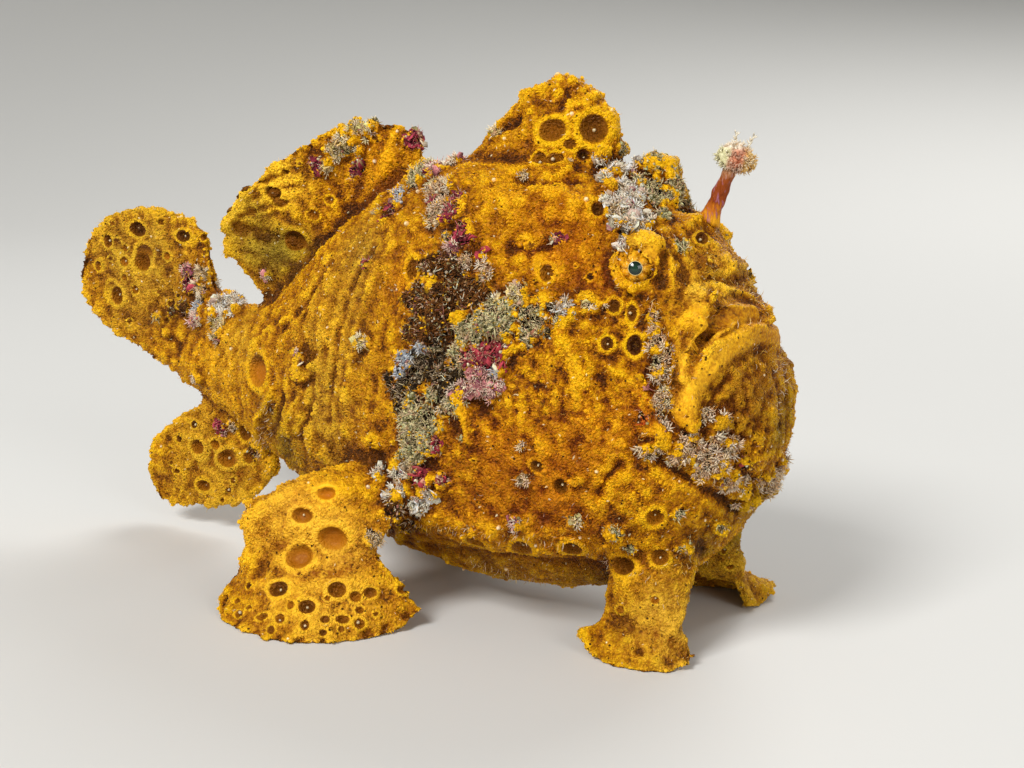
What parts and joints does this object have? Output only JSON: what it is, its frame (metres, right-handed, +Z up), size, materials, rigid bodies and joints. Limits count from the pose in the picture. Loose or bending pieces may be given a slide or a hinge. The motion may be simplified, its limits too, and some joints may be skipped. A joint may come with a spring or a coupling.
{
  "type": "frogfish",
  "caption": "Still life-size model of a yellow, sponge-like frogfish standing on its leg-like fins, with upturned mouth, lure stalk, tall back spine and rayed fins.",
  "frame": {"origin": "centre of the bounding box on the floor, level with the soles of the four feet", "axes": "+X towards the head, +Y to the fish's left, +Z up"},
  "size_m": [0.269, 0.1476, 0.1639],
  "materials": {
    "flesh": "matte, warty yellow skin",
    "chin": "matte, warty olive yellow skin",
    "stalk": "satin orange-red skin",
    "bait": "soft cream fringe",
    "eye": "wet, clear and dark"
  },
  "bodies": {
    "root": {"anal_fin": "flesh", "caudal_fin": "flesh", "dorsal_fin": "flesh", "dorsal_spine_2": "flesh", "dorsal_spine_3": "flesh", "esca": "bait", "eye_left": "eye", "eye_right": "eye", "head": "flesh", "illicium": "stalk", "lower_jaw": "chin", "pectoral_arm_left": "flesh", "pectoral_arm_right": "flesh", "pectoral_hand_left": "flesh", "pectoral_hand_right": "flesh", "pelvic_fin_left": "flesh", "pelvic_fin_right": "flesh", "tail_stem": "flesh", "torso": "flesh"}
  },
  "joints": []
}
